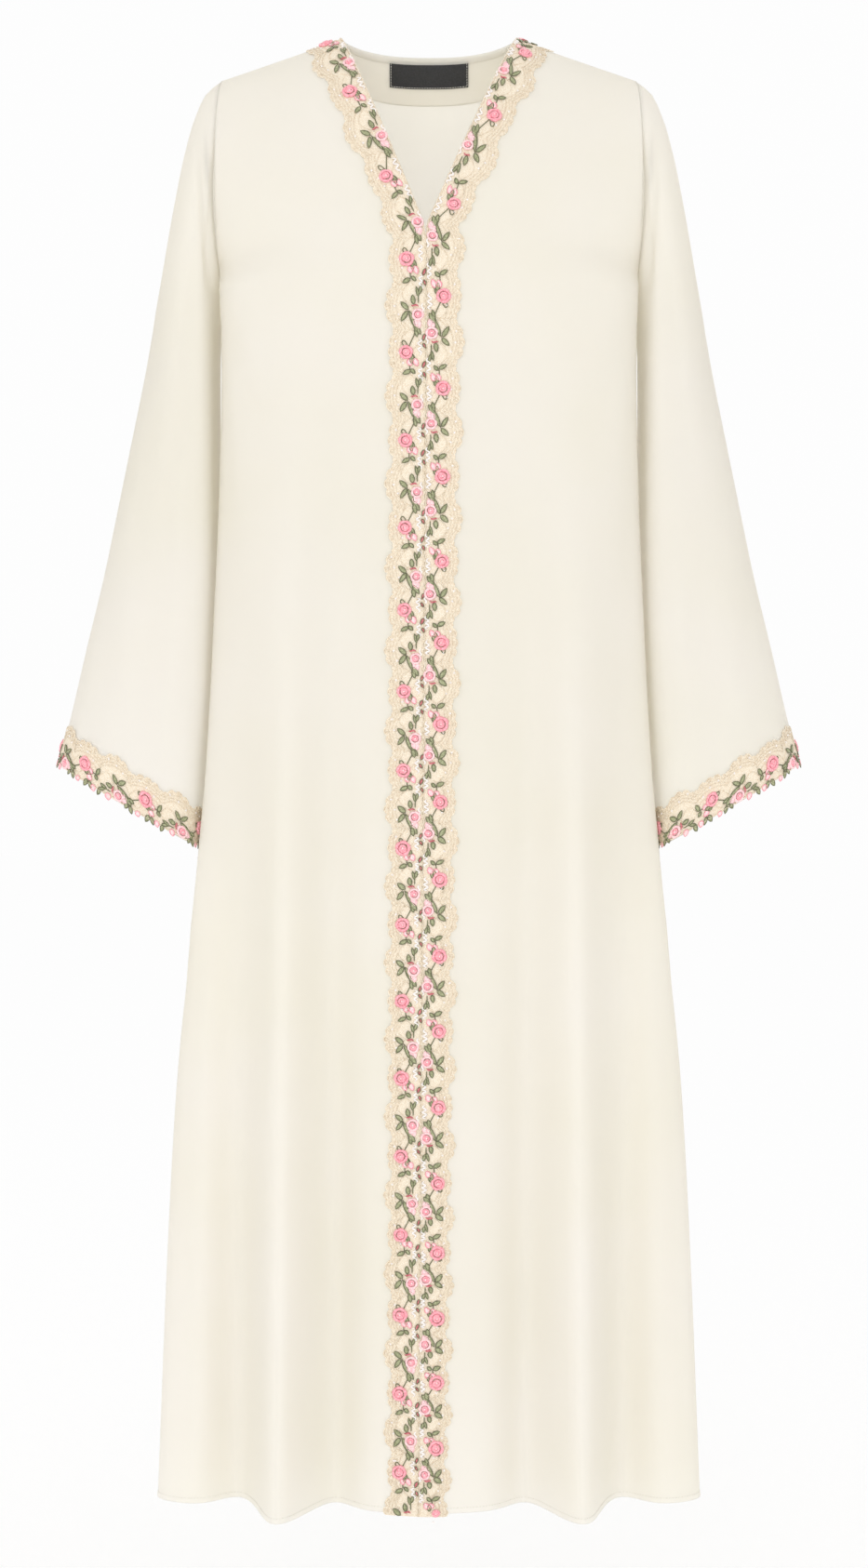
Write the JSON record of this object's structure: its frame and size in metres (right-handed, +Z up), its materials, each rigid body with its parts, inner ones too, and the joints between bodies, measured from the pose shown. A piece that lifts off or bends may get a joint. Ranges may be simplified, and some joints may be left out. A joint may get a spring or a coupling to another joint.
{
  "type": "open front abaya with lace borders",
  "caption": "Full length open front abaya in cream crepe, filled out and hollow, with bell sleeves and floral lace down the front and round the cuffs.",
  "frame": {"origin": "middle of the shoulder line, at the height of the shoulder neck points", "axes": "+Z up along the body, -Y out of the front, +X to the picture's right"},
  "size_m": [0.7324, 0.2373, 1.4384],
  "materials": {
    "crepe": "matt satin crepe",
    "lace": "corded net lace with satin roses",
    "label": "woven label"
  },
  "bodies": {
    "root": {"back": "crepe", "front_left": "crepe", "front_right": "crepe", "sleeve_left": "crepe", "sleeve_right": "crepe", "back_neck_facing": "crepe", "neck_label": "label", "lace_front_left": "lace", "lace_front_right": "lace", "lace_cuff_left": "lace", "lace_cuff_right": "lace"}
  },
  "joints": []
}
